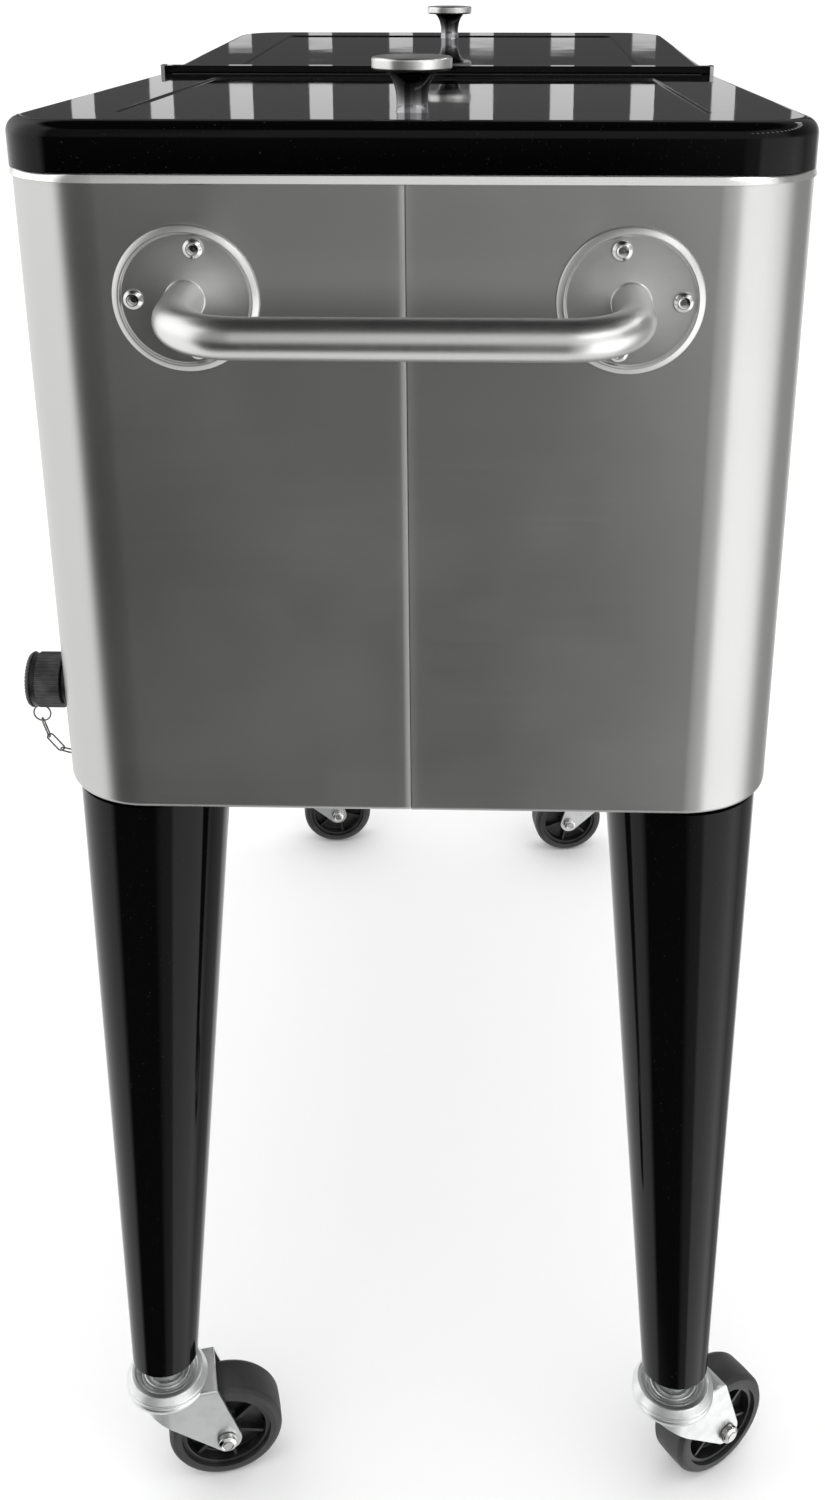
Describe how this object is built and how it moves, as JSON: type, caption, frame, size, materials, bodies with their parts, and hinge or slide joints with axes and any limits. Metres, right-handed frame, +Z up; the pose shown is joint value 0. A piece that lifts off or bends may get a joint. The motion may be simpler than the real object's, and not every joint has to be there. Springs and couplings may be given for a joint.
{
  "type": "rolling patio cooler",
  "caption": "Insulated ice chest on splayed legs with swivel casters, hinged lids over a deep tub, end handles and a side drain with a chained cap.",
  "frame": {"origin": "centre of the bounding box's footprint, on the floor under the casters", "axes": "+Z up, +X across the body and along the lids' hinge line, +Y along the body from one handle end to the other; the pictured end faces -Y"},
  "size_m": [0.4615, 0.9552, 0.9084],
  "materials": {
    "brushed_steel": "fine brushed stainless sheet and tube",
    "bright_steel": "turned and drawn steel, bright",
    "chrome": "dark mirror chrome",
    "zinc": "bright zinc plating on pressed steel",
    "gloss_black": "high gloss black enamel",
    "black_plastic": "moulded black plastic",
    "grey_rubber": "dark grey rubber tread",
    "soft_black": "soft black seal rubber",
    "foam": "rigid foam, cream"
  },
  "bodies": {
    "cabinet": {"shell_left": "brushed_steel", "shell_right": "brushed_steel", "bottom_pan": "brushed_steel", "tub": "brushed_steel", "floor_foam": "foam", "wall_foam": "foam", "centre_rail": "gloss_black", "hinge_rod_near": "bright_steel", "hinge_rod_far": "bright_steel", "handle_near": "brushed_steel", "handle_far": "brushed_steel", "drain_spout": "black_plastic", "drain_nut": "black_plastic", "drain_washer": "soft_black", "chain_eye": "bright_steel", "chain_link_1": "bright_steel", "chain_link_2": "bright_steel", "chain_link_3": "bright_steel", "chain_link_4": "bright_steel", "leg_near_left": "gloss_black", "leg_near_right": "gloss_black", "leg_far_left": "gloss_black", "leg_far_right": "gloss_black", "caster_stem_near_left": "zinc", "caster_stem_near_right": "zinc", "caster_stem_far_left": "zinc", "caster_stem_far_right": "zinc"},
    "near_lid": {"lid_near": "gloss_black", "lid_near_tray": "black_plastic", "lid_near_foam": "foam", "lid_near_gasket": "soft_black", "knob_near_cap": "bright_steel", "knob_near_stem": "chrome", "knob_near_screw": "bright_steel"},
    "far_lid": {"lid_far": "gloss_black", "lid_far_tray": "black_plastic", "lid_far_foam": "foam", "lid_far_gasket": "soft_black", "knob_far_cap": "bright_steel", "knob_far_stem": "chrome", "knob_far_screw": "bright_steel"},
    "cap_ring": {"cap_retainer": "black_plastic", "chain_split_ring": "bright_steel"},
    "cap": {"drain_cap": "black_plastic"},
    "caster_near_left": {"fork_near_left": "zinc", "axle_near_left": "bright_steel"},
    "caster_near_right": {"fork_near_right": "zinc", "axle_near_right": "bright_steel"},
    "caster_far_left": {"fork_far_left": "zinc", "axle_far_left": "bright_steel"},
    "caster_far_right": {"fork_far_right": "zinc", "axle_far_right": "bright_steel"},
    "roller_near_left": {"wheel_near_left": "black_plastic", "tyre_near_left": "grey_rubber"},
    "roller_near_right": {"wheel_near_right": "black_plastic", "tyre_near_right": "grey_rubber"},
    "roller_far_left": {"wheel_far_left": "black_plastic", "tyre_far_left": "grey_rubber"},
    "roller_far_right": {"wheel_far_right": "black_plastic", "tyre_far_right": "grey_rubber"}
  },
  "joints": [
    {"name": "near_lid_hinge", "type": "hinge", "parent": "cabinet", "child": "near_lid", "pos_m": [0, -0.0125, 0.8695], "axis": [-1, 0, 0], "range_deg": [0, 84]},
    {"name": "far_lid_hinge", "type": "hinge", "parent": "cabinet", "child": "far_lid", "pos_m": [0, 0.0125, 0.8695], "axis": [1, 0, 0], "range_deg": [0, 84]},
    {"name": "cap_travel", "type": "slide", "parent": "cabinet", "child": "cap_ring", "axis": [-1, 0, 0], "range_m": [0, 0.002]},
    {"name": "cap_turn", "type": "hinge", "parent": "cap_ring", "child": "cap", "pos_m": [-0.2183, -0.325, 0.5562], "axis": [-1, 0, 0], "range_deg": [0, 360]},
    {"name": "swivel_near_left", "type": "hinge", "parent": "cabinet", "child": "caster_near_left", "pos_m": [-0.1656, -0.397, 0.07], "axis": [0, 0, 1], "continuous": true},
    {"name": "swivel_near_right", "type": "hinge", "parent": "cabinet", "child": "caster_near_right", "pos_m": [0.1656, -0.397, 0.07], "axis": [0, 0, 1], "continuous": true},
    {"name": "swivel_far_left", "type": "hinge", "parent": "cabinet", "child": "caster_far_left", "pos_m": [-0.1656, 0.397, 0.07], "axis": [0, 0, 1], "continuous": true},
    {"name": "swivel_far_right", "type": "hinge", "parent": "cabinet", "child": "caster_far_right", "pos_m": [0.1656, 0.397, 0.07], "axis": [0, 0, 1], "continuous": true},
    {"name": "roll_near_left", "type": "hinge", "parent": "caster_near_left", "child": "roller_near_left", "pos_m": [-0.13164, -0.38853, 0.0375], "axis": [-0.2419, 0.9703, 0], "continuous": true},
    {"name": "roll_near_right", "type": "hinge", "parent": "caster_near_right", "child": "roller_near_right", "pos_m": [0.19392, -0.37643, 0.0375], "axis": [-0.5878, 0.809, 0], "continuous": true},
    {"name": "roll_far_left", "type": "hinge", "parent": "caster_far_left", "child": "roller_far_left", "pos_m": [-0.13094, 0.40187, 0.0375], "axis": [-0.1392, 0.9903, 0], "continuous": true},
    {"name": "roll_far_right", "type": "hinge", "parent": "caster_far_right", "child": "roller_far_right", "pos_m": [0.13113, 0.39092, 0.0375], "axis": [0.1736, -0.9848, 0], "continuous": true}
  ],
  "couplings": [
    {"joint": "cap_travel", "follows": "cap_turn", "m_per_rad": 0.000318}
  ]
}
